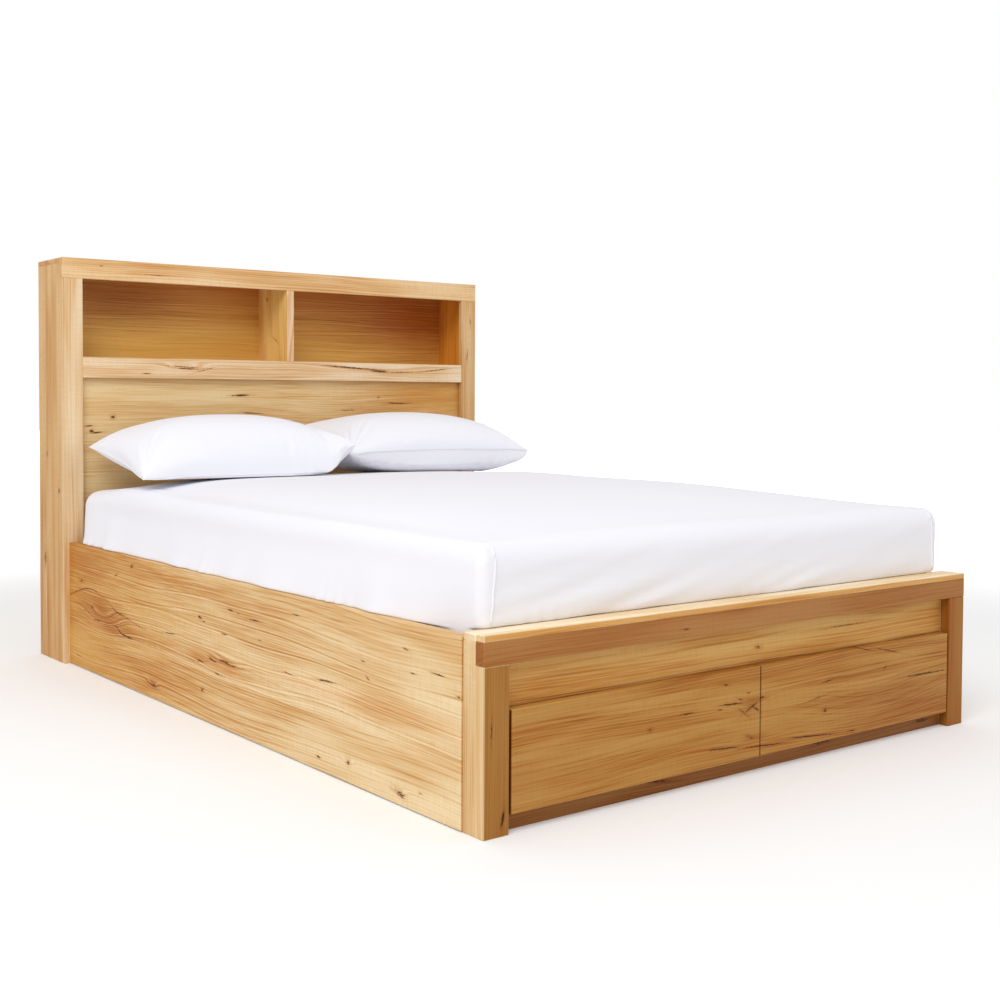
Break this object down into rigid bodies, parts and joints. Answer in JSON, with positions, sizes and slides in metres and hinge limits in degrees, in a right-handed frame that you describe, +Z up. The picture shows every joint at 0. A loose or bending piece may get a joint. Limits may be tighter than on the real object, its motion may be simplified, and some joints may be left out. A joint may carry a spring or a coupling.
{
  "type": "bed with storage headboard",
  "caption": "Low hardwood bed with a tall case headboard that has open niches, a footboard with side-by-side drawers, a slat base, a mattress in a fitted sheet and pillows.",
  "frame": {"origin": "on the floor, under the middle of the whole bed", "axes": "+Z up, +Y from the footboard to the headboard, +X across the bed, so the drawers pull out towards -Y"},
  "size_m": [1.634, 2.341, 1.283],
  "materials": {
    "hardwood": "satin",
    "hardwood_pale": "satin",
    "hardwood_deep": "satin",
    "box_timber": "matte",
    "plywood": "matte",
    "zinc_steel": "satin",
    "black_steel": "satin",
    "sheet_cotton": "matte",
    "pillow_cotton": "matte"
  },
  "bodies": {
    "bed_frame": {"side_rail_left": "hardwood", "slat_cleat_left": "box_timber", "side_rail_right": "hardwood", "slat_cleat_right": "box_timber", "footboard_face_post_left": "hardwood", "footboard_face_post_right": "hardwood", "footboard_fascia": "hardwood_deep", "footboard_top_strip": "hardwood_pale", "footboard_inner_post_left": "hardwood", "footboard_inner_post_right": "hardwood", "footboard_inner_cap": "hardwood_pale", "footboard_panel": "hardwood", "footboard_plinth": "hardwood_deep", "headboard_side_left": "hardwood", "headboard_side_right": "hardwood", "headboard_top": "hardwood", "headboard_shelf": "hardwood", "headboard_back": "plywood", "headboard_lower_panel": "hardwood", "headboard_divider": "hardwood", "headboard_stile_left": "hardwood_pale", "headboard_stile_right": "hardwood_pale", "headboard_fascia": "hardwood_pale", "headboard_mid_rail": "hardwood_pale", "centre_beam": "box_timber", "centre_leg": "black_steel", "slat_base": "box_timber", "corner_bracket_head_left": "black_steel", "corner_bracket_foot_left": "black_steel", "corner_bracket_head_right": "black_steel", "corner_bracket_foot_right": "black_steel", "drawer_partition": "box_timber", "runner_batten_left": "box_timber", "runner_batten_right": "box_timber", "left_outer_runner_cabinet": "zinc_steel", "left_inner_runner_cabinet": "zinc_steel", "right_outer_runner_cabinet": "zinc_steel", "right_inner_runner_cabinet": "zinc_steel", "mattress": "sheet_cotton", "pillow_left": "pillow_cotton", "pillow_right": "pillow_cotton"},
    "left_drawer": {"left_drawer_front": "hardwood", "left_drawer_outer_side": "box_timber", "left_drawer_inner_side": "box_timber", "left_drawer_back": "box_timber", "left_drawer_bottom": "plywood", "left_outer_runner_drawer": "zinc_steel", "left_inner_runner_drawer": "zinc_steel"},
    "left_runner_middles": {"left_outer_runner_middle": "zinc_steel", "left_inner_runner_middle": "zinc_steel"},
    "right_drawer": {"right_drawer_front": "hardwood", "right_drawer_outer_side": "box_timber", "right_drawer_inner_side": "box_timber", "right_drawer_back": "box_timber", "right_drawer_bottom": "plywood", "right_outer_runner_drawer": "zinc_steel", "right_inner_runner_drawer": "zinc_steel"},
    "right_runner_middles": {"right_outer_runner_middle": "zinc_steel", "right_inner_runner_middle": "zinc_steel"}
  },
  "joints": [
    {"name": "left_drawer_slide", "type": "slide", "parent": "bed_frame", "child": "left_drawer", "axis": [0, -1, 0], "range_m": [0, 0.5]},
    {"name": "left_runner_slide", "type": "slide", "parent": "bed_frame", "child": "left_runner_middles", "axis": [0, -1, 0], "range_m": [0, 0.25]},
    {"name": "right_drawer_slide", "type": "slide", "parent": "bed_frame", "child": "right_drawer", "axis": [0, -1, 0], "range_m": [0, 0.5]},
    {"name": "right_runner_slide", "type": "slide", "parent": "bed_frame", "child": "right_runner_middles", "axis": [0, -1, 0], "range_m": [0, 0.25]}
  ],
  "couplings": [
    {"joint": "left_runner_slide", "follows": "left_drawer_slide", "ratio": 0.5},
    {"joint": "right_runner_slide", "follows": "right_drawer_slide", "ratio": 0.5}
  ]
}
